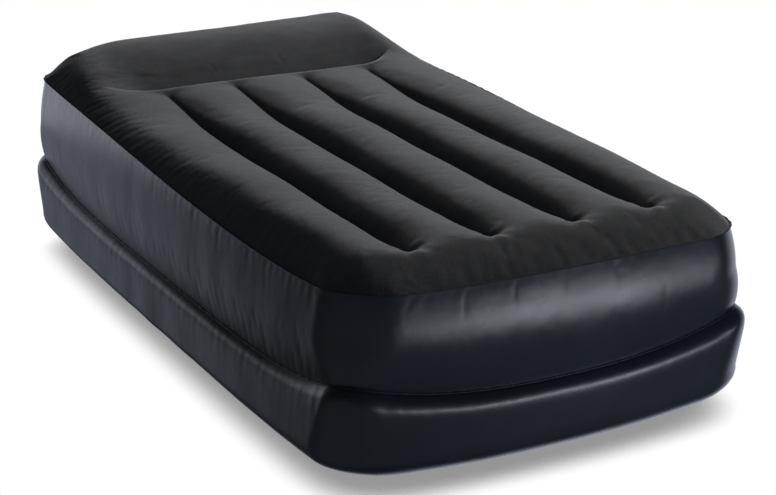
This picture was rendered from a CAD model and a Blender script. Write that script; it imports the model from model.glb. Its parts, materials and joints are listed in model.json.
import json
import math

import bmesh
import bpy
import numpy as np
from mathutils import Matrix, Vector

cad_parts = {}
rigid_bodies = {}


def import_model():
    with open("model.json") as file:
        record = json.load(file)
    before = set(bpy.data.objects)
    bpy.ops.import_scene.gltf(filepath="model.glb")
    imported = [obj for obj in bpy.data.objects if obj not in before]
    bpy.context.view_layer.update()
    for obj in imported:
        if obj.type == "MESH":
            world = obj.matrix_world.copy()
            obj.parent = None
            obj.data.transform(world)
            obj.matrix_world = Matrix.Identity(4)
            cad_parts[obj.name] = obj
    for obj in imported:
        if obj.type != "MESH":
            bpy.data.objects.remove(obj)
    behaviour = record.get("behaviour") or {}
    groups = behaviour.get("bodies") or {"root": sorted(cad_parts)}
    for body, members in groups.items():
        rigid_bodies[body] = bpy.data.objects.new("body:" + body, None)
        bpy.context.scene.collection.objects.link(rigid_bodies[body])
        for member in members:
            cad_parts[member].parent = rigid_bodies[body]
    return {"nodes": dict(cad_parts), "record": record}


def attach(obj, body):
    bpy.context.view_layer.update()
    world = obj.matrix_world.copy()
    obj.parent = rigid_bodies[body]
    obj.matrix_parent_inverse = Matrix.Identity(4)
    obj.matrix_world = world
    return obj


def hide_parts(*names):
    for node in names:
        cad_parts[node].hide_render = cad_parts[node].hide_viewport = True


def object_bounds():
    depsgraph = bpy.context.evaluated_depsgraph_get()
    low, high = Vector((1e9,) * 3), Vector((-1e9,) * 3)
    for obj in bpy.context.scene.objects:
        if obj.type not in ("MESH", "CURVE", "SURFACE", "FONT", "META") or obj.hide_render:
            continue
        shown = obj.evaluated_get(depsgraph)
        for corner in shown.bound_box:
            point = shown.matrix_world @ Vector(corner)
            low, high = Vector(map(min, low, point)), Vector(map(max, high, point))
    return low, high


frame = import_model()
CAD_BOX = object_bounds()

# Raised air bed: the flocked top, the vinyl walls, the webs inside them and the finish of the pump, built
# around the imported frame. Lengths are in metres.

# ---------------------------------------------------------------- the bed's shape
HALF_X = (CAD_BOX[1][0] - CAD_BOX[0][0]) / 2      # widest lines of the side walls
HALF_Y = (CAD_BOX[1][1] - CAD_BOX[0][1]) / 2
# Each weld line: height, how much it climbs at the corners and how closely that keeps to them, how far it
# is pulled in, the plan radius of its corners, and how far its sides and ends bow out.
FOOT = dict(z=0.0, lift=0.0092, spread=2.50, inset=0.1254, corner=0.1005, side_bow=0.0005, end_bow=0.0220)
WAIST = dict(z=0.1880, lift=0.0666, spread=2.50, inset=0.0217, corner=0.0697, side_bow=0.0109, end_bow=0.0150)
SEAM = dict(z=0.4146, lift=0.0190, spread=3.47, inset=0.0111, corner=0.1169, side_bow=0.0321, end_bow=0.0114)
WIDEST_CORNER = 0.1313
UPPER_APEX, UPPER_POWER = 0.5242, 1.792           # widest line of a tier, as a share of its height
LOWER_APEX, LOWER_POWER = 0.4442, 2.356
CURL_POWER = 11.0        # how tightly the lower tier curls into the waist

CREST_Z = 0.478          # the sleeping surface at its foot end
HEAD_RISE, HEAD_RISE_Y = 0.030, 0.187
PILLOW_RISE, PILLOW_CROWN = 0.021, 0.008
SHOULDER = 0.125         # width of the top's rounded edge
SHOULDER_SWING = 0.035   # how much narrower it is at the right of the head
GROOVE_XS = (-0.269, -0.0895, 0.0985, 0.277)
GROOVE_FOOT_Y, GROOVE_HEAD_Y = -0.825, 0.440
GROOVE_DEPTH, GROOVE_REACH = 0.058, 0.092
CROSS_Y, CROSS_DEPTH, CROSS_LIP, PILLOW_REACH = 0.505, 0.046, 0.05, 0.30

EDGE_ZONE = 0.130        # width of the ringed border of the top's mesh
RINGS = 22
HALF_CHANNEL_STEPS = 13
ROWS = 270
UPPER_ROWS, LOWER_ROWS = 26, 26

WINDOW = (0.200, 0.310, 0.120, 0.075, 0.036)      # the pump's collar: x, z, half width, half height, radius
COLLAR_BACK_Y = 0.911
HEM = 0.022               # width of a weld

AIR_PRESSURE = 1.2       # of the cloth pass, and how far it may move the walls and the top
WALL_SETTLE, TOP_SETTLE = 0.0003, 0.0010


def smooth(low, high, value):
    t = np.clip((value - low) / (high - low), 0, 1)
    return t * t * (3 - 2 * t)


def mix(a, b, t):
    return a + (b - a) * t


def bulge(t):
    """A quarter ellipse: 0 at 0, upright there, and level from 1 on."""
    return np.sqrt(1 - (1 - np.clip(t, 0, 1)) ** 2)


# ---------------------------------------------------------------- plan outline
def column_places():
    """x of the top's mesh columns, closest together at the grooves."""
    steps = (np.arange(HALF_CHANNEL_STEPS + 1) / HALF_CHANNEL_STEPS) ** 1.25 * GROOVE_REACH
    edge = HALF_X - SEAM["inset"] - EDGE_ZONE
    places = [-edge, edge] + [x + d for x in GROOVE_XS for s in steps for d in (s, -s)]
    kept = []
    for x in sorted(p for p in places if abs(p) <= edge):
        if not kept or x - kept[-1] > 0.0022:
            kept.append(x)
    kept[-1] = edge
    return np.array(kept)


COLUMNS = column_places()
ROW_PLACES = np.linspace(-1, 1, ROWS + 1) * (HALF_Y - SEAM["inset"] - EDGE_ZONE)


def loop_order():
    """The core's edge as (share, along an end?, which side) for each vertex, anticlockwise."""
    ys, xs = ROW_PLACES / ROW_PLACES[-1], COLUMNS / COLUMNS[-1]
    right = [(y, 0, 1) for y in ys[:-1]]
    head = [(x, 1, 1) for x in xs[:0:-1]]
    left = [(y, 0, -1) for y in ys[:0:-1]]
    foot = [(x, 1, -1) for x in xs[:-1]]
    return np.array(right + head + left + foot)


LOOP = loop_order()
COUNT = len(LOOP)


def side_point(share, along_half, across_half, radius):
    """A point on one side of a rounded rectangle: share runs from 0 at its middle to 1 half way
    round the corner. Returns the distance along the side and the distance out from the centre."""
    straight = along_half - radius
    run = share * (straight + radius * math.pi / 4)
    angle = np.maximum(run - straight, 0) / radius
    return np.minimum(run, straight) + radius * np.sin(angle), across_half - radius * (1 - np.cos(angle))


def corner_weight(u, v, spread):
    """1 at the corners of the plan, near 0 along the sides."""
    return np.abs(u) ** spread * np.abs(v) ** (spread * HALF_Y / HALF_X)


def outline(inset, corner, side_bow, end_bow, spread):
    """x, y and corner weight of the outline pulled in by inset, for each place of LOOP."""
    half_x, half_y = HALF_X - inset, HALF_Y - inset
    share, is_end, side = LOOP[:, 0], LOOP[:, 1] > 0, LOOP[:, 2]
    along_y, across_x = side_point(np.abs(share), half_y, half_x, corner)
    along_x, across_y = side_point(np.abs(share), half_x, half_y, corner)
    x = np.where(is_end, np.sign(share) * along_x, side * across_x)
    y = np.where(is_end, side * across_y, np.sign(share) * along_y)
    bowed_x = x * (1 - side_bow * (y / half_y) ** 2 / half_x)
    bowed_y = y * (1 - end_bow * (x / half_x) ** 2 / half_y)
    return bowed_x, bowed_y, corner_weight(x / half_x, y / half_y, spread)


def seam_rise(x, y):
    """The top's weld climbs towards the pillow and dips a little at the right of the foot."""
    v = y / HALF_Y
    dip = 0.011 * smooth(0.2, HALF_X, x) * smooth(0.6, HALF_Y, -y)
    return 0.0428 * (1 + v) - 0.0105 * (v * v - 1) - 0.0322 * (v ** 3 + 1) - dip


def tier_ring(low, high, apex, power, t, upper_power=None):
    """The ring of a wall tier at share t of its height, between the weld lines low and high."""
    below, above = np.clip(apex - t, 0, None) / apex, np.clip(t - apex, 0, None) / (1 - apex)
    inset = low["inset"] * below ** power + high["inset"] * above ** (upper_power or power)
    corner = WIDEST_CORNER + (low["corner"] - WIDEST_CORNER) * below
    corner += (high["corner"] - WIDEST_CORNER) * above
    side_bow, end_bow, spread, lift, z = (mix(low[k], high[k], t)
                                          for k in ("side_bow", "end_bow", "spread", "lift", "z"))
    x, y, weight = outline(inset, corner, side_bow, end_bow, spread)
    climb = t * seam_rise(x, y) if high is SEAM else 0
    return np.stack([x, y, z + lift * weight + climb], axis=1)


def outward(ring):
    """Unit plan vectors that point out of a closed ring."""
    along = np.roll(ring, -1, axis=0) - np.roll(ring, 1, axis=0)
    away = np.stack([along[:, 1], -along[:, 0], 0 * along[:, 0]], axis=1)
    return away / np.linalg.norm(away, axis=1)[:, None]


SEAM_RING = tier_ring(WAIST, SEAM, UPPER_APEX, UPPER_POWER, 1.0)
STEPS = np.linalg.norm(np.roll(SEAM_RING, -1, axis=0) - SEAM_RING, axis=1)
PERIMETER = STEPS.sum()
RUN = (np.cumsum(STEPS) - STEPS) / PERIMETER
CORNERNESS = corner_weight(SEAM_RING[:, 0] / HALF_X, SEAM_RING[:, 1] / HALF_Y, 4.0)


def ruffle(seed, wavelengths):
    """An irregular ripple round the bed, within -1 and 1, that closes on itself. It comes in patches."""
    chance = np.random.default_rng(seed)
    total = np.zeros(COUNT)
    for length in wavelengths:
        wander = 0.35 * np.sin(2 * math.pi * (chance.integers(5, 12) * RUN + chance.random()))
        total += np.sin(2 * math.pi * (round(PERIMETER / length) * RUN + chance.random() + wander))
    patch = sum(np.sin(2 * math.pi * (n * RUN + chance.random())) for n in (5, 9, 14))
    return total / len(wavelengths) * (0.6 + 0.4 * patch / 3)


def even_rows(count):
    """Shares from 0 to 1, closer together at both ends."""
    t = np.arange(count + 1) / count
    return mix(t, 0.5 - 0.5 * np.cos(math.pi * t), 0.6)


# ---------------------------------------------------------------- wall surfaces
def tier(low, high, apex, power, rows, low_pucker, high_pucker, seed, upper_power=None):
    """All rings of a tier, with puckers that die away from its welds and faint waves all over."""
    fine_low, fine_high = ruffle(seed, (0.031, 0.047, 0.083)), ruffle(seed + 1, (0.029, 0.043, 0.078))
    broad = ruffle(seed + 2, (0.27, 0.41))
    height = high["z"] - low["z"]
    rings = []
    for t in even_rows(rows):
        ring = tier_ring(low, high, apex, power, t, upper_power)
        fade_low, fade_high = math.exp(-t * height / 0.030), math.exp(-(1 - t) * height / 0.024)
        free = min(1.0, 9 * t, 9 * (1 - t))
        push = fine_low * low_pucker * fade_low * (1 + 1.5 * CORNERNESS) * free
        push += fine_high * high_pucker * fade_high * (1 + 1.5 * CORNERNESS) * free
        push += 0.0011 * broad * math.sin(math.pi * t)
        rings.append(ring + outward(ring) * push[:, None])
    return np.array(rings)


UPPER = tier(WAIST, SEAM, UPPER_APEX, UPPER_POWER, UPPER_ROWS, 0.0010, 0.0008, 11)
LOWER = tier(FOOT, WAIST, LOWER_APEX, LOWER_POWER, LOWER_ROWS, 0.0010, 0.0012, 21, CURL_POWER)


# ---------------------------------------------------------------- the top
def crest_height(x, y):
    """The top away from its edges and grooves: level at the foot, climbing to the crowned pillow."""
    climb = HEAD_RISE * smooth(HEAD_RISE_Y, HALF_Y, y) + PILLOW_RISE * smooth(0.46, 0.80, y)
    climb -= 0.026 * smooth(0.24, 0.46, -x) * smooth(0.62, 0.86, y)
    climb += 0.006 * smooth(0.28, 0.42, x) * smooth(0.45, 0.65, y)
    return CREST_Z + climb + PILLOW_CROWN * (1 - (x / HALF_X) ** 2) * smooth(0.55, 0.85, y)


def shoulder(x, y, from_seam):
    """Height of the rounded edge as a share of the crest's: steep at the seam, level further in."""
    width = SHOULDER - SHOULDER_SWING * smooth(0, HALF_X, x) * smooth(0.4, 0.8, y)
    soft = smooth(-0.4, -0.8, y) + smooth(0.2, HALF_X, -x) * smooth(0.5, 0.9, y)
    return (1 - (1 - np.clip(from_seam / width, 0, 1)) ** (2.3 - 0.45 * soft)) ** (0.87 + 0.09 * soft)


def groove_drop(x, y):
    """How far the welded grooves pull the top down, with small puckers across their banks."""
    drop = np.zeros_like(x)
    for i, groove_x in enumerate(GROOVE_XS):
        beyond = 2.0 * np.maximum(GROOVE_FOOT_Y - y, 0) + np.maximum(y - GROOVE_HEAD_Y, 0)
        away = np.hypot(x - groove_x, beyond)
        fade = 0.62 + 0.38 * smooth(GROOVE_FOOT_Y - 0.01, GROOVE_FOOT_Y + 0.12, y)
        fade *= 0.34 + 0.66 * smooth(GROOVE_HEAD_Y + 0.01, GROOVE_HEAD_Y - 0.42, y)
        side = np.sign(x - groove_x)
        ripple = np.sin(y * 118 + 1.7 * i + 0.6 * side) * np.sin(y * 31 + 2.9 * i) * np.exp(-away / 0.022)
        deep = GROOVE_DEPTH * fade * (1 - bulge((away + 0.0015) / GROOVE_REACH))
        drop = np.maximum(drop, deep + 0.0006 * ripple * fade * smooth(0, 0.006, away))
    return drop


def cross_drop(x, y):
    """The same for the groove in front of the pillow, whose ends curl towards the head."""
    middle = CROSS_Y + 0.09 * np.clip((np.abs(x) - 0.27) / 0.17, 0, 1.3) ** 2
    reach = np.maximum((middle - y) / CROSS_LIP, (y - middle) / PILLOW_REACH)
    depth = CROSS_DEPTH * smooth(0.410, 0.27, np.abs(x))
    return depth * (1 - bulge((reach * CROSS_LIP + 0.0015) / CROSS_LIP))


def foot_pucker(x, y):
    """Small radial folds where a groove's weld ends."""
    total = np.zeros_like(x)
    for i, groove_x in enumerate(GROOVE_XS):
        dx, dy = x - groove_x, y - GROOVE_FOOT_Y
        away = np.hypot(dx, dy)
        folds = np.cos(5 * np.arctan2(dx, -dy) + 0.5 * math.sin(3.1 * i))
        total += folds * smooth(0.006, 0.022, away) * np.exp(-((away - 0.02) / 0.028) ** 2) * (dy < 0.03)
    return 0.0016 * total


def unevenness(x, y):
    """Long shallow waves in the stretched sheet."""
    waves = ((9.1, 4.3, 0.7), (-6.7, 8.9, 2.1), (4.0, 17.0, 1.3))
    return 0.0010 * sum(np.sin(a * x + b * y + start) for a, b, start in waves)


def top_height(x, y, from_seam, seam_z):
    drop = (groove_drop(x, y) ** 4 + cross_drop(x, y) ** 4) ** 0.25
    share = shoulder(x, y, from_seam)
    inner = smooth(0.02, 0.10, from_seam)
    flat = crest_height(x, y) + (unevenness(x, y) + foot_pucker(x, y)) * inner
    return seam_z + (flat - seam_z) * share - drop * inner


def top_surface():
    """Vertices of the core grid, row by row, then the rings from the core out to the seam."""
    xs, ys = np.meshgrid(COLUMNS, ROW_PLACES)
    core = np.stack([xs, ys, top_height(xs, ys, EDGE_ZONE + 0 * xs, 0)], axis=2).reshape(-1, 3)
    edge_x = np.where(LOOP[:, 1] > 0, LOOP[:, 0] * COLUMNS[-1], LOOP[:, 2] * COLUMNS[-1])
    edge_y = np.where(LOOP[:, 1] > 0, LOOP[:, 2] * ROW_PLACES[-1], LOOP[:, 0] * ROW_PLACES[-1])
    seam = UPPER[-1]
    pleats = ruffle(5, (0.033, 0.051, 0.09)) * (1 + CORNERNESS)
    rings = []
    for k in range(RINGS - 1, 0, -1):
        share = (k / RINGS) ** 1.5
        x, y = mix(seam[:, 0], edge_x, share), mix(seam[:, 1], edge_y, share)
        gap = EDGE_ZONE * share
        pleat = 0.0016 * pleats * np.exp(-gap / 0.03) * smooth(0, 0.008, gap)
        z = top_height(x, y, gap, seam[:, 2]) + pleat
        rings.append(np.stack([x, y, z], axis=1))
    rings.append(seam)
    return core, np.array(rings)


def top_faces():
    """Quads of the core grid and of the rings round it."""
    width, height = len(COLUMNS), len(ROW_PLACES)
    quads = []
    for j in range(height - 1):
        for i in range(width - 1):
            a = j * width + i
            quads.append((a, a + 1, a + width + 1, a + width))
    right = [j * width + width - 1 for j in range(height - 1)]
    head = [(height - 1) * width + i for i in range(width - 1, 0, -1)]
    left = [j * width for j in range(height - 1, 0, -1)]
    inner = right + head + left + list(range(width - 1))
    for k in range(RINGS):
        outer = list(range(width * height + k * COUNT, width * height + (k + 1) * COUNT))
        for i in range(COUNT):
            j = (i + 1) % COUNT
            quads.append((inner[i], outer[i], outer[j], inner[j]))
        inner = outer
    return quads


def ring_faces(rings, closed=False):
    """Quads between successive rings, and from the last back to the first if the section is closed."""
    quads = []
    for k in range(rings if closed else rings - 1):
        after = (k + 1) % rings
        for i in range(COUNT):
            j = (i + 1) % COUNT
            quads.append((k * COUNT + i, k * COUNT + j, after * COUNT + j, after * COUNT + i))
    return quads


# ---------------------------------------------------------------- mesh helpers
def make_piece(name, vertices, faces, material, slot, body="bed"):
    mesh = bpy.data.meshes.new(name)
    mesh.from_pydata([tuple(map(float, v)) for v in vertices], [], faces)
    mesh.validate()
    mesh.shade_smooth()
    piece = bpy.data.objects.new(name, mesh)
    bpy.context.scene.collection.objects.link(piece)
    mesh.materials.append(material)
    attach(piece, body)
    return piece


def tidy_mesh(piece, gap=0.0002):
    """Joins vertices that lie together and turns all faces the same way."""
    work = bmesh.new()
    work.from_mesh(piece.data)
    bmesh.ops.remove_doubles(work, verts=work.verts, dist=gap)
    bmesh.ops.recalc_face_normals(work, faces=work.faces)
    work.to_mesh(piece.data)
    work.free()
    piece.data.shade_smooth()


def positions(mesh):
    places = np.empty(3 * len(mesh.vertices))
    mesh.vertices.foreach_get("co", places)
    return places.reshape(-1, 3)


def rounded_rectangle(half_width, half_height, radius):
    """144 points of a rounded rectangle round the origin, anticlockwise and evenly turned."""
    points = []
    for angle in np.arange(144) / 144 * 2 * math.pi:
        # the direction picks a point on the sides; one past their straight part is drawn onto the arc
        c, s = math.cos(angle), math.sin(angle)
        reach = min(half_width / max(abs(c), 1e-9), half_height / max(abs(s), 1e-9))
        x, y = c * reach, s * reach
        cx, cy = half_width - radius, half_height - radius
        if abs(x) > cx and abs(y) > cy:
            dx, dy = abs(x) - cx, abs(y) - cy
            away = math.hypot(dx, dy)
            x = math.copysign(cx + dx / away * radius, x)
            y = math.copysign(cy + dy / away * radius, y)
        points.append((x, y))
    return points


def holed_bays(length, height, count, radius, place):
    """A strip length by height with a round hole in each of its bays, as vertices and quads. place turns
    the strip's own two coordinates, each from its middle, into a point."""
    per_side, layers = 8, 3
    half_u, half_v = length / count / 2, height / 2
    corners = [(-half_u, -half_v), (half_u, -half_v), (half_u, half_v), (-half_u, half_v)]
    rim = [(mix(a[0], b[0], i / per_side), mix(a[1], b[1], i / per_side))
           for a, b in zip(corners, corners[1:] + corners[:1]) for i in range(per_side)]
    around = len(rim)
    vertices, quads = [], []
    for bay in range(count):
        middle = (bay - (count - 1) / 2) * 2 * half_u
        start = len(vertices)
        for layer in range(layers + 1):
            for u, v in rim:
                away = math.hypot(u, v)
                share = (layer / layers) ** 1.3
                hole_u, hole_v = u / away * radius, v / away * radius
                vertices.append(place(middle + mix(hole_u, u, share), mix(hole_v, v, share)))
        for layer in range(layers):
            for i in range(around):
                j = (i + 1) % around
                a, b = start + layer * around, start + (layer + 1) * around
                quads.append((a + i, a + j, b + j, b + i))
    return vertices, quads


def strip(points, across, width):
    """A flat ribbon of the given width centred on points, with across its sideways direction."""
    half = [c * width / 2 for c in across]
    vertices = [tuple(p[k] + sign * half[k] for k in range(3)) for p in points for sign in (-1, 1)]
    return vertices, [(2 * i, 2 * i + 1, 2 * i + 3, 2 * i + 2) for i in range(len(points) - 1)]


def joined(*parts):
    """One list of vertices and one of faces from several such pairs."""
    vertices, faces = [], []
    for more_vertices, more_faces in parts:
        faces += [tuple(i + len(vertices) for i in face) for face in more_faces]
        vertices += list(more_vertices)
    return vertices, faces


def thicken(piece, thickness):
    solid = piece.modifiers.new("thickness", "SOLIDIFY")
    solid.thickness = thickness
    solid.offset = 0


# ---------------------------------------------------------------- materials
def new_material(name, colour, roughness, metallic=0.0):
    material = bpy.data.materials.new(name)
    material.use_nodes = True
    shader = material.node_tree.nodes["Principled BSDF"]
    shader.inputs["Base Color"].default_value = (*colour, 1)
    shader.inputs["Roughness"].default_value = roughness
    shader.inputs["Metallic"].default_value = metallic
    return material, material.node_tree, shader


def noise_node(tree, scale, detail=2.0, roughness=0.5, stretch=(1, 1, 1)):
    place = tree.nodes.new("ShaderNodeTexCoord")
    mapping = tree.nodes.new("ShaderNodeMapping")
    mapping.inputs["Scale"].default_value = stretch
    tree.links.new(place.outputs["Object"], mapping.inputs["Vector"])
    node = tree.nodes.new("ShaderNodeTexNoise")
    node.inputs["Scale"].default_value = scale
    node.inputs["Detail"].default_value = detail
    node.inputs["Roughness"].default_value = roughness
    tree.links.new(mapping.outputs["Vector"], node.inputs["Vector"])
    return node


def ramp(tree, source, stops):
    node = tree.nodes.new("ShaderNodeValToRGB")
    while len(node.color_ramp.elements) < len(stops):
        node.color_ramp.elements.new(0.5)
    for element, (place, colour) in zip(node.color_ramp.elements, stops):
        element.position = place
        element.color = (*colour, 1)
    tree.links.new(source, node.inputs["Fac"])
    return node.outputs["Color"]


def bump(tree, shader, heights):
    """Chains bumps: heights is a list of (socket, strength, distance in metres)."""
    normal = None
    for source, strength, distance in heights:
        node = tree.nodes.new("ShaderNodeBump")
        node.inputs["Strength"].default_value = strength
        node.inputs["Distance"].default_value = distance
        tree.links.new(source, node.inputs["Height"])
        if normal:
            tree.links.new(normal, node.inputs["Normal"])
        normal = node.outputs["Normal"]
    tree.links.new(normal, shader.inputs["Normal"])


def grey(value, tint=(1, 1, 1)):
    return tuple(value * c for c in tint)


def flock_material():
    """Short flock: mottled by the lie of the pile, with a fine grain and a soft sheen."""
    material, tree, shader = new_material("flock", grey(0.05), 0.95)
    grain = noise_node(tree, 620, 3, 0.7)
    mottle = noise_node(tree, 14, 5, 0.62)
    mixed = tree.nodes.new("ShaderNodeMix")
    mixed.data_type = "RGBA"
    mixed.blend_type = "MULTIPLY"
    mixed.inputs["Factor"].default_value = 1.0
    patches = ramp(tree, mottle.outputs["Fac"], [(0.3, FLOCK_DARK), (0.7, FLOCK_PALE)])
    fibres = ramp(tree, grain.outputs["Fac"], [(0.3, grey(0.50)), (0.7, grey(1.50))])
    tree.links.new(patches, mixed.inputs["A"])
    tree.links.new(fibres, mixed.inputs["B"])
    tree.links.new(mixed.outputs["Result"], shader.inputs["Base Color"])
    shader.inputs["Specular IOR Level"].default_value = 0.10
    shader.inputs["Sheen Weight"].default_value = 0.22
    shader.inputs["Sheen Roughness"].default_value = 0.35
    shader.inputs["Sheen Tint"].default_value = (0.76, 0.77, 0.79, 1)
    bump(tree, shader, [(mottle.outputs["Fac"], 0.25, 0.004), (grain.outputs["Fac"], 0.6, 0.0010)])
    return material


def vinyl_material(name, colour, roughness=0.27, grain_strength=0.2):
    """Calendered vinyl: a fine pebbled grain, long soft ripples and faint cloudy patches."""
    material, tree, shader = new_material(name, colour, roughness)
    grain = noise_node(tree, 1400, 2, 0.5)
    ripple = noise_node(tree, 9, 3, 0.5)
    cloud = noise_node(tree, 5, 4, 0.6)
    tree.links.new(ramp(tree, cloud.outputs["Fac"], [(0.3, grey(0.88, colour)), (0.7, grey(1.12, colour))]),
                   shader.inputs["Base Color"])
    satin = ramp(tree, cloud.outputs["Fac"], [(0.3, grey(roughness - 0.03)), (0.7, grey(roughness + 0.04))])
    tree.links.new(satin, shader.inputs["Roughness"])
    bump(tree, shader, [(ripple.outputs["Fac"], 0.2, 0.006),
                        (grain.outputs["Fac"], grain_strength, 0.00025)])
    return material


def plastic_material(name, colour, roughness, scale=1800, strength=0.3):
    """Moulded plastic with a spark-eroded grain and slightly handled patches."""
    material, tree, shader = new_material(name, colour, roughness)
    grain = noise_node(tree, scale, 2, 0.6)
    handled = noise_node(tree, 22, 4, 0.6)
    tree.links.new(ramp(tree, handled.outputs["Fac"], [(0.3, grey(0.9, colour)), (0.7, grey(1.12, colour))]),
                   shader.inputs["Base Color"])
    worn = ramp(tree, handled.outputs["Fac"],
                [(0.35, grey(roughness - 0.06)), (0.65, grey(roughness + 0.05))])
    tree.links.new(worn, shader.inputs["Roughness"])
    bump(tree, shader, [(grain.outputs["Fac"], strength, 0.0002)])
    return material


def metal_material(name, colour, roughness, stretch=(1, 1, 12)):
    """Brushed metal, streaked along one direction."""
    material, tree, shader = new_material(name, colour, roughness, 1.0)
    brushed = noise_node(tree, 300, 4, 0.6, stretch)
    tree.links.new(ramp(tree, brushed.outputs["Fac"], [(0.3, grey(0.8, colour)), (0.7, grey(1.1, colour))]),
                   shader.inputs["Base Color"])
    streaks = ramp(tree, brushed.outputs["Fac"],
                   [(0.3, grey(roughness - 0.08)), (0.7, grey(roughness + 0.1))])
    tree.links.new(streaks, shader.inputs["Roughness"])
    bump(tree, shader, [(brushed.outputs["Fac"], 0.15, 0.0002)])
    return material


FLOCK_DARK, FLOCK_PALE = (0.0235, 0.0238, 0.0247), (0.0385, 0.0390, 0.0402)
NAVY = (0.0135, 0.0185, 0.0275)
FLOCK = flock_material()
WALL = vinyl_material("wall_vinyl", NAVY)
WELD = vinyl_material("weld_vinyl", grey(1.25, NAVY), 0.34, 0.5)
UNDER = vinyl_material("bottom_vinyl", grey(0.7, NAVY), 0.5, 0.5)
INNER = vinyl_material("inner_vinyl", (0.28, 0.29, 0.31), 0.5)
FINISHES = {
    "wall_vinyl": WALL,
    "bottom_vinyl": UNDER,
    "flocked_top": FLOCK,
    "inner_vinyl": INNER,
    "pump_black": plastic_material("pump_plastic", (0.018, 0.019, 0.022), 0.5),
    "dial_plastic": plastic_material("dial_plastic", (0.05, 0.053, 0.062), 0.42, 2200, 0.2),
    "grey_plastic": plastic_material("grey_plastic", (0.24, 0.25, 0.26), 0.5),
    "gland_rubber": plastic_material("rubber", (0.012, 0.012, 0.012), 0.75, 900, 0.5),
    "switch_black": plastic_material("switch_case", (0.010, 0.010, 0.011), 0.25, 3000, 0.05),
    "switch_red": plastic_material("rocker_red", (0.42, 0.012, 0.008), 0.22, 3000, 0.05),
    "steel": metal_material("zinc_steel", (0.62, 0.62, 0.60), 0.32),
    "magnet": plastic_material("ferrite", (0.035, 0.035, 0.037), 0.6, 1200, 0.5),
    "bronze": metal_material("bronze", (0.66, 0.40, 0.20), 0.35),
}


def dress_frame():
    """Gives every carried-over CAD node its procedural material, and the pump's parts softened edges."""
    slots = {s["node"]: s["material_slot"] for s in frame["record"]["subparts"]}
    for name, node in frame["nodes"].items():
        finish = FINISHES[slots[name]]
        if not node.material_slots:
            node.data.materials.append(finish)
        for place in node.material_slots:
            place.material = finish
        if slots[name] not in ("wall_vinyl", "flocked_top", "inner_vinyl", "bottom_vinyl"):
            edge = node.modifiers.new("softened_edges", "BEVEL")
            edge.width = 0.00035
            edge.segments = 2
            edge.limit_method = "ANGLE"
            edge.angle_limit = math.radians(40)
            edge.use_clamp_overlap = True
            edge.harden_normals = False


# ---------------------------------------------------------------- the envelope
def wall_at(x, z):
    """y of the head wall's outer face at x and z."""
    head = (UPPER[:, :, 1] > 0.8) & (np.abs(UPPER[:, :, 0]) < HALF_X - 0.09)
    ys, zs = [], []
    for ring, kept in zip(UPPER, head):
        row = ring[kept]
        row = row[np.argsort(row[:, 0])]
        ys.append(np.interp(x, row[:, 0], row[:, 1]))
        zs.append(np.interp(x, row[:, 0], row[:, 2]))
    return float(np.interp(z, zs, ys))


def inside_window(point, margin):
    """Whether a point of the head wall lies in the pump's window grown by margin."""
    x, z, half_width, half_height, radius = WINDOW
    dx = max(abs(point[0] - x) - (half_width - radius), 0)
    dz = max(abs(point[2] - z) - (half_height - radius), 0)
    return point[1] > 0 and math.hypot(dx, dz) < radius + margin


def weld_strip(name, ring, width, thickness, lean, slot, ripple):
    """The welded flange that stands out of a seam: a thin lip with a wavy edge."""
    out = outward(ring)
    up = np.array([0.0, 0.0, 1.0])
    # each line of the lip's section: share of its width, and side of its middle as a share of its thickness
    section = [(-0.002, -0.5), (0.25, -0.55), (0.75, -0.5), (1.0, 0.0),
               (0.75, 0.5), (0.25, 0.55), (-0.002, 0.5)]
    wave = 1 + 0.22 * ripple
    rings = []
    for reach, side in section:
        offset = out * (reach * width * wave)[:, None] + up * (side * thickness)
        offset[:, 2] += lean * reach * width + 0.0007 * reach * ripple
        rings.append(ring + offset)
    strip_piece = make_piece(name, np.concatenate(rings), ring_faces(len(rings), True), WELD, slot)
    tidy_mesh(strip_piece, 0.00001)
    return strip_piece


def build_walls():
    faces = ring_faces(len(UPPER))
    points = UPPER.reshape(-1, 3)
    kept = [f for f in faces if not inside_window(points[list(f)].mean(axis=0), 0.006)]
    upper = make_piece("upper_side_wall", points, kept, WALL, "wall_vinyl")
    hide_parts("upper_wall")
    lower = make_piece("lower_side_wall", LOWER.reshape(-1, 3), ring_faces(len(LOWER)), WALL, "wall_vinyl")
    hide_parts("lower_wall")
    fine = ruffle(31, (0.030, 0.044))
    weld_strip("seam_weld", UPPER[-1], 0.0042, 0.0012, 0.35, "wall_vinyl", fine)
    weld_strip("waist_weld", UPPER[0], 0.0030, 0.0016, -0.1, "wall_vinyl", fine)


def build_top():
    core, rings = top_surface()
    points = np.concatenate([core, rings.reshape(-1, 3)])
    top = make_piece("flocked_top", points, top_faces(), FLOCK, "flocked_top")
    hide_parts("top_sheet")


def build_underside():
    """The bottom, flat on the floor, with shallow channels where the lower webs are welded to it."""
    rings, edge = [], LOWER[0]
    for share in np.linspace(1, 0.03, 18) ** 0.8:
        ring = edge * np.array([share, share, 1.0])
        channel = sum(np.exp(-((ring[:, 0] - x) / 0.012) ** 2) for x in GROOVE_XS)
        channel *= smooth(0.80, 0.72, np.abs(ring[:, 1]))
        ring[:, 2] = edge[:, 2] * smooth(0.93, 1, share) + 0.004 * channel
        rings.append(ring)
    middle = np.array([[0.0, 0.0, 0.0]])
    last = (len(rings) - 1) * COUNT
    fan = [(last + i, last + (i + 1) % COUNT, len(rings) * COUNT) for i in range(COUNT)]
    points = np.concatenate([np.concatenate(rings), middle])
    under = make_piece("underside", points, ring_faces(len(rings)) + fan, UNDER, "bottom_vinyl")
    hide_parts("bottom_sheet")


# ---------------------------------------------------------------- the webs inside
def groove_floor(x, y):
    return float(top_height(np.array([float(x)]), np.array([float(y)]), EDGE_ZONE, 0)[0]) - 0.0015


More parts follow.
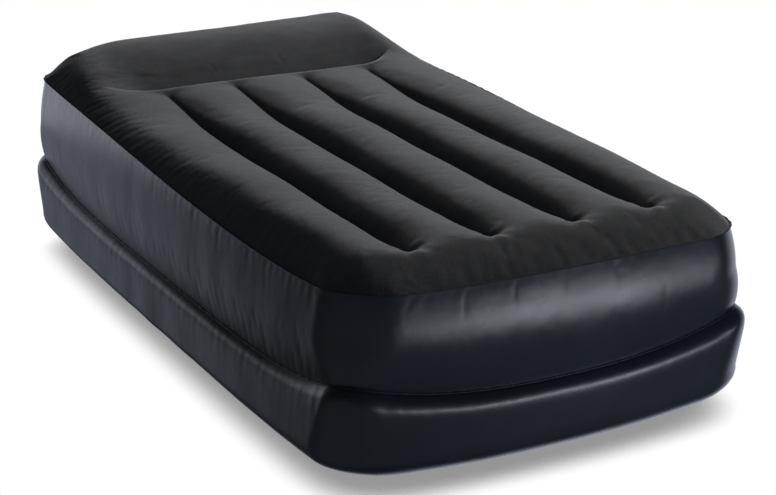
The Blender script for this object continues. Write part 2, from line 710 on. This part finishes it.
def waist_level(x, y):
    """Height of the sheet across the waist: that of the weld at its edge, level in the middle."""
    u, v = x / (HALF_X - WAIST["inset"]), y / (HALF_Y - WAIST["inset"])
    return WAIST["z"] + WAIST["lift"] * float(corner_weight(np.array(u), np.array(v), WAIST["spread"]))


def web(name, node, length, bays, radius, foot, head, along):
    """An upright sheet with round air holes, and a welded ribbon at its foot and at its head. along turns
    a distance from its middle into a plan point; foot and head give the heights there."""
    def place(u, v):
        x, y = along(u)
        return x, y, mix(foot(x, y), head(x, y), v + 0.5)
    runs = [(i / 60 - 0.5) * length for i in range(61)]
    start, end = along(-0.5), along(0.5)
    across = (end[1] - start[1], end[0] - start[0], 0.0)
    tall = head(*along(0)) - foot(*along(0))
    sheet = holed_bays(length, tall, bays, radius, lambda u, v: place(u, v / tall))
    ribbons = [strip([place(u, v) for u in runs], across, HEM) for v in (-0.495, 0.495)]
    piece = make_piece(name, *joined(sheet, *ribbons), INNER, "inner_vinyl")
    tidy_mesh(piece)
    thicken(piece, 0.0006)
    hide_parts(node)


def build_webs():
    middle = (GROOVE_FOOT_Y + GROOVE_HEAD_Y) / 2
    length = GROOVE_HEAD_Y - GROOVE_FOOT_Y - 0.02
    for side, x in zip(("far_left", "left", "right", "far_right"), GROOVE_XS):
        web(f"upper_web_{side}", f"upper_beam_{side}", length, 5, 0.032, waist_level, groove_floor,
            lambda u, x=x: (x, middle + u))
        web(f"lower_web_{side}", f"lower_beam_{side}", 1.50, 6, 0.032, lambda x, y: 0.0046, waist_level,
            lambda u, x=x: (x, u - 0.01))
    web("pillow_web", "pillow_beam", 0.56, 3, 0.032, waist_level, groove_floor, lambda u: (u, CROSS_Y))


def build_waist_sheet():
    """The level sheet that ties the two tiers together, with rows of air holes."""
    half_width, half_length = 0.40, 0.84
    panels = []
    for k in range(5):
        x = (k - 2) * half_width * 0.4
        panels.append(holed_bays(2 * half_length, 0.4 * half_width, 3, 0.035,
                                 lambda u, v, x=x: (x + v, u, waist_level(x + v, u))))
    rings = []
    for share in (0.0, 0.35, 0.7, 1.0):
        edge = UPPER[0] - outward(UPPER[0]) * 0.0005
        core_x = np.where(LOOP[:, 1] > 0, LOOP[:, 0], LOOP[:, 2]) * half_width
        core_y = np.where(LOOP[:, 1] > 0, LOOP[:, 2], LOOP[:, 0]) * half_length
        x, y = mix(edge[:, 0], core_x, share), mix(edge[:, 1], core_y, share)
        z = [waist_level(a, b) for a, b in zip(x, y)] if share else edge[:, 2]
        rings.append(np.stack([x, y, z], axis=1))
    skirt = (np.concatenate(rings), ring_faces(len(rings)))
    piece = make_piece("waist_web", *joined(*panels, skirt), INNER, "inner_vinyl")
    tidy_mesh(piece)
    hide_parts("waist_sheet")


# ---------------------------------------------------------------- the pump's collar
def build_collar():
    """The tube round the pump with a rounded lip, and the flange that welds it to the head wall."""
    x, z, half_width, half_height, radius = WINDOW
    # each ring of the section: growth of the outline, and its depth behind (-) or before the wall
    section = [(-0.0030, None), (-0.0030, -0.006), (-0.0026, -0.0020), (-0.0014, 0.0002), (0.0006, 0.0016),
               (0.0030, 0.0019), (0.0050, 0.0012), (0.0062, 0.0006), (0.0110, 0.0005), (0.0118, 0.0008),
               (0.0126, 0.0005), (0.0165, 0.0005), (0.0178, 0.0002), (0.0182, -0.0014), (0.0100, -0.0012),
               (0.0, -0.0012), (0.0, None)]
    rings = []
    for grow, depth in section:
        ring = []
        for px, pz in rounded_rectangle(half_width + grow, half_height + grow, radius + grow):
            y = COLLAR_BACK_Y if depth is None else wall_at(x + px, z + pz) + depth
            ring.append((x + px, y, z + pz))
        rings.append(ring)
    around = len(rings[0])
    quads = []
    for k in range(len(rings)):
        after = (k + 1) % len(rings)
        for i in range(around):
            j = (i + 1) % around
            quads.append((k * around + i, k * around + j, after * around + j, after * around + i))
    collar = make_piece("pump_collar_rim", [p for ring in rings for p in ring], quads, WELD, "wall_vinyl")
    tidy_mesh(collar, 0.00001)
    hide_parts("pump_collar")


def inflate(piece, held, pressure, limit, frames=9):
    """Lets a sheet settle under air pressure with its welds held, and keeps the shape it takes. held is
    each vertex's hold, from 0 (free) to 1 (welded)."""
    rest = positions(piece.data)
    welds = piece.vertex_groups.new(name="welds")
    for level in range(1, 11):
        members = np.nonzero(np.round(held * 10) == level)[0]
        welds.add([int(i) for i in members], level / 10, "REPLACE")
    air = piece.modifiers.new("air", "CLOTH")
    sheet = air.settings
    sheet.quality = 4
    sheet.mass = 0.02
    sheet.tension_stiffness = sheet.compression_stiffness = 60
    sheet.shear_stiffness = 30
    sheet.bending_stiffness = 0.4
    sheet.vertex_group_mass = "welds"
    sheet.shrink_min = -0.0015
    sheet.use_pressure = True
    sheet.uniform_pressure_force = pressure
    sheet.effector_weights.gravity = 0
    air.collision_settings.use_collision = False
    air.point_cache.frame_start, air.point_cache.frame_end = 1, frames
    scene = bpy.context.scene
    for frame_number in range(1, frames + 1):
        scene.frame_set(frame_number)
    settled = positions(piece.evaluated_get(bpy.context.evaluated_depsgraph_get()).data)
    piece.modifiers.remove(air)
    piece.vertex_groups.remove(welds)
    scene.frame_set(1)
    moved = settled - rest
    far = np.maximum(np.linalg.norm(moved, axis=1), 1e-9)
    kept = rest + moved * (limit * np.tanh(far / limit) / far)[:, None]
    piece.data.vertices.foreach_set("co", kept.ravel())
    piece.data.update()


def inflate_envelope():
    """Blows up the two walls and the top, held along their welds and grooves."""
    for name, rows in (("upper_side_wall", len(UPPER)), ("lower_side_wall", len(LOWER))):
        t = np.repeat(np.arange(rows) / (rows - 1), COUNT)
        inflate(bpy.data.objects[name], 1 - smooth(0.0, 0.10, np.minimum(t, 1 - t)), AIR_PRESSURE, WALL_SETTLE)
    top = bpy.data.objects["flocked_top"]
    x, y = positions(top.data).T[:2]
    welded = smooth(0.008, 0.024, np.maximum(groove_drop(x, y), cross_drop(x, y)))
    welded[-2 * COUNT:] = 1.0
    inflate(top, welded, AIR_PRESSURE, TOP_SETTLE)


dress_frame()
build_walls()
build_top()
build_underside()
build_webs()
build_waist_sheet()
build_collar()
inflate_envelope()


# ---------------------------------------------------------------- floor, light and camera
def add_floor():
    """A white floor, lit evenly, that darkens only in the crease where the bed stands on it."""
    mesh = bpy.data.meshes.new("floor")
    size = 30.0
    corners = [(-size, -size, 0), (size, -size, 0), (size, size, 0), (-size, size, 0)]
    mesh.from_pydata(corners, [], [(0, 1, 2, 3)])
    floor = bpy.data.objects.new("floor", mesh)
    bpy.context.scene.collection.objects.link(floor)
    material, tree, shader = new_material("pale_floor", grey(0.0), 0.9)
    shader.inputs["Specular IOR Level"].default_value = 0.0
    shader.inputs["Emission Strength"].default_value = 1.0
    shade = tree.nodes.new("ShaderNodeAmbientOcclusion")
    shade.inputs["Distance"].default_value = 0.075
    shade.samples = 8
    crease = ramp(tree, shade.outputs["AO"], [(0.25, grey(0.30)), (0.60, grey(0.72)), (0.86, grey(1.0))])
    tree.links.new(crease, shader.inputs["Emission Color"])
    mesh.materials.append(material)
    floor.visible_glossy = False
    floor.visible_diffuse = False


def light_only(lamp, objects):
    lit = bpy.data.collections.new(lamp.name + "_lights")
    for thing in objects:
        lit.objects.link(thing)
    lamp.light_linking.receiver_collection = lit


def add_area(name, place, target, size, power, colour=(1, 1, 1)):
    light = bpy.data.lights.new(name, "AREA")
    light.shape = "RECTANGLE"
    light.size, light.size_y = size
    light.energy = power
    light.color = colour
    lamp = bpy.data.objects.new(name, light)
    lamp.location = place
    lamp.rotation_euler = (Vector(target) - Vector(place)).to_track_quat("-Z", "Y").to_euler()
    bpy.context.scene.collection.objects.link(lamp)
    return lamp


def add_world(ambient, glows):
    """A dim surround with soft glows, each given by its direction, spread, strength and colour."""
    world = bpy.data.worlds.new("studio")
    world.use_nodes = True
    tree = world.node_tree
    background = tree.nodes["Background"]
    place = tree.nodes.new("ShaderNodeTexCoord")
    total = None
    for direction, inner, outer, strength, colour in glows:
        facing = tree.nodes.new("ShaderNodeVectorMath")
        facing.operation = "DOT_PRODUCT"
        facing.inputs[1].default_value = Vector(direction).normalized()
        tree.links.new(place.outputs["Generated"], facing.inputs[0])
        fall = tree.nodes.new("ShaderNodeMapRange")
        fall.interpolation_type = "SMOOTHSTEP"
        for key, value in {"From Min": outer, "From Max": inner, "To Min": 0.0, "To Max": strength}.items():
            fall.inputs[key].default_value = value
        tree.links.new(facing.outputs["Value"], fall.inputs["Value"])
        tinted = tree.nodes.new("ShaderNodeVectorMath")
        tinted.operation = "MULTIPLY_ADD"
        tinted.inputs[1].default_value = colour
        tinted.inputs[2].default_value = ambient
        tree.links.new(fall.outputs["Result"], tinted.inputs[0])
        if total:
            tree.links.new(total, tinted.inputs[2])
        total = tinted.outputs["Vector"]
    ray = tree.nodes.new("ShaderNodeLightPath")
    seen = tree.nodes.new("ShaderNodeMix")
    seen.data_type = "RGBA"
    seen.inputs["B"].default_value = (1, 1, 1, 1)
    tree.links.new(ray.outputs["Is Camera Ray"], seen.inputs["Factor"])
    tree.links.new(total, seen.inputs["A"])
    tree.links.new(seen.outputs["Result"], background.inputs["Color"])
    background.inputs["Strength"].default_value = 1.0
    bpy.context.scene.world = world


def add_camera():
    """The photograph's view: from the foot end's left, 1.7 m up, through a long lens."""
    yaw, pitch, roll = (math.radians(a) for a in (26.858, -19.149, -0.862))
    forward = Vector((math.sin(yaw) * math.cos(pitch), math.cos(yaw) * math.cos(pitch), math.sin(pitch)))
    level = forward.cross(Vector((0, 0, 1))).normalized()
    upright = level.cross(forward)
    right = math.cos(roll) * level + math.sin(roll) * upright
    up = math.cos(roll) * upright - math.sin(roll) * level
    data = bpy.data.cameras.new("camera")
    data.sensor_fit = "HORIZONTAL"
    data.sensor_width = 36.0
    data.lens = 92.784
    data.shift_x = -0.00185
    camera = bpy.data.objects.new("camera", data)
    turn = Matrix((right, up, -forward)).transposed().to_4x4()
    camera.matrix_world = Matrix.Translation((-1.93297, -4.02173, 1.72087)) @ turn
    bpy.context.scene.collection.objects.link(camera)
    bpy.context.scene.camera = camera


bpy.context.scene.view_settings.view_transform = "Standard"
COOL = (0.86, 0.92, 1.10)
PALE = (0.92, 0.96, 1.05)
add_floor()
add_world((0.038, 0.042, 0.049), [
    ((-0.20, 0.97, -0.14), 0.995, 0.905, 0.38, COOL),
    ((0.76, 0.58, -0.30), 0.97, 0.70, 0.90, COOL),
    ((-0.85, -0.35, -0.35), 0.95, 0.30, 0.13, COOL),
    ((0.35, -0.85, -0.35), 0.98, 0.45, 0.12, COOL),
])
VINYL = [bpy.data.objects[n] for n in ("upper_side_wall", "lower_side_wall", "seam_weld", "waist_weld")]
PILE = [bpy.data.objects["flocked_top"]]
light_only(add_area("back_light", (7.5, 12.4, 4.0), (0, 0.0, 0.45), (6.0, 2.0), 1250), PILE)
light_only(add_area("right_light", (3.3, -0.5, 1.9), (0, -0.5, 0.45), (1.6, 0.8), 165), PILE)
light_only(add_area("top_light", (0.4, -0.8, 3.0), (0, -0.6, 0.45), (1.6, 1.6), 9), PILE)
light_only(add_area("left_card", (-1.1, 2.3, 0.45), (-0.6, 0.2, 0.3), (1.7, 0.9), 3.0, PALE), VINYL)
light_only(add_area("head_card", (0.9, 3.8, 1.5), (0.0, 0.95, 0.25), (2.4, 1.0), 90, PALE), VINYL[:2])
for x, power in ((-0.10, 0.15), (0.25, 0.8), (0.60, 1.6), (0.95, 0.7), (1.30, 0.3), (1.65, 0.3)):
    card = add_area("foot_card", (x, -1.9, 0.10), (0.2 * x, -0.95, 0.30), (0.35, 0.10), power, PALE)
    light_only(card, VINYL)
OTHERS = [o for o in bpy.context.scene.objects
          if o.type == "MESH" and o.name != "floor" and o not in VINYL + PILE]
light_only(add_area("bench_light", (-0.9, 3.4, 1.9), (0.2, 0.95, 0.3), (2.0, 1.2), 300), OTHERS)
add_camera()
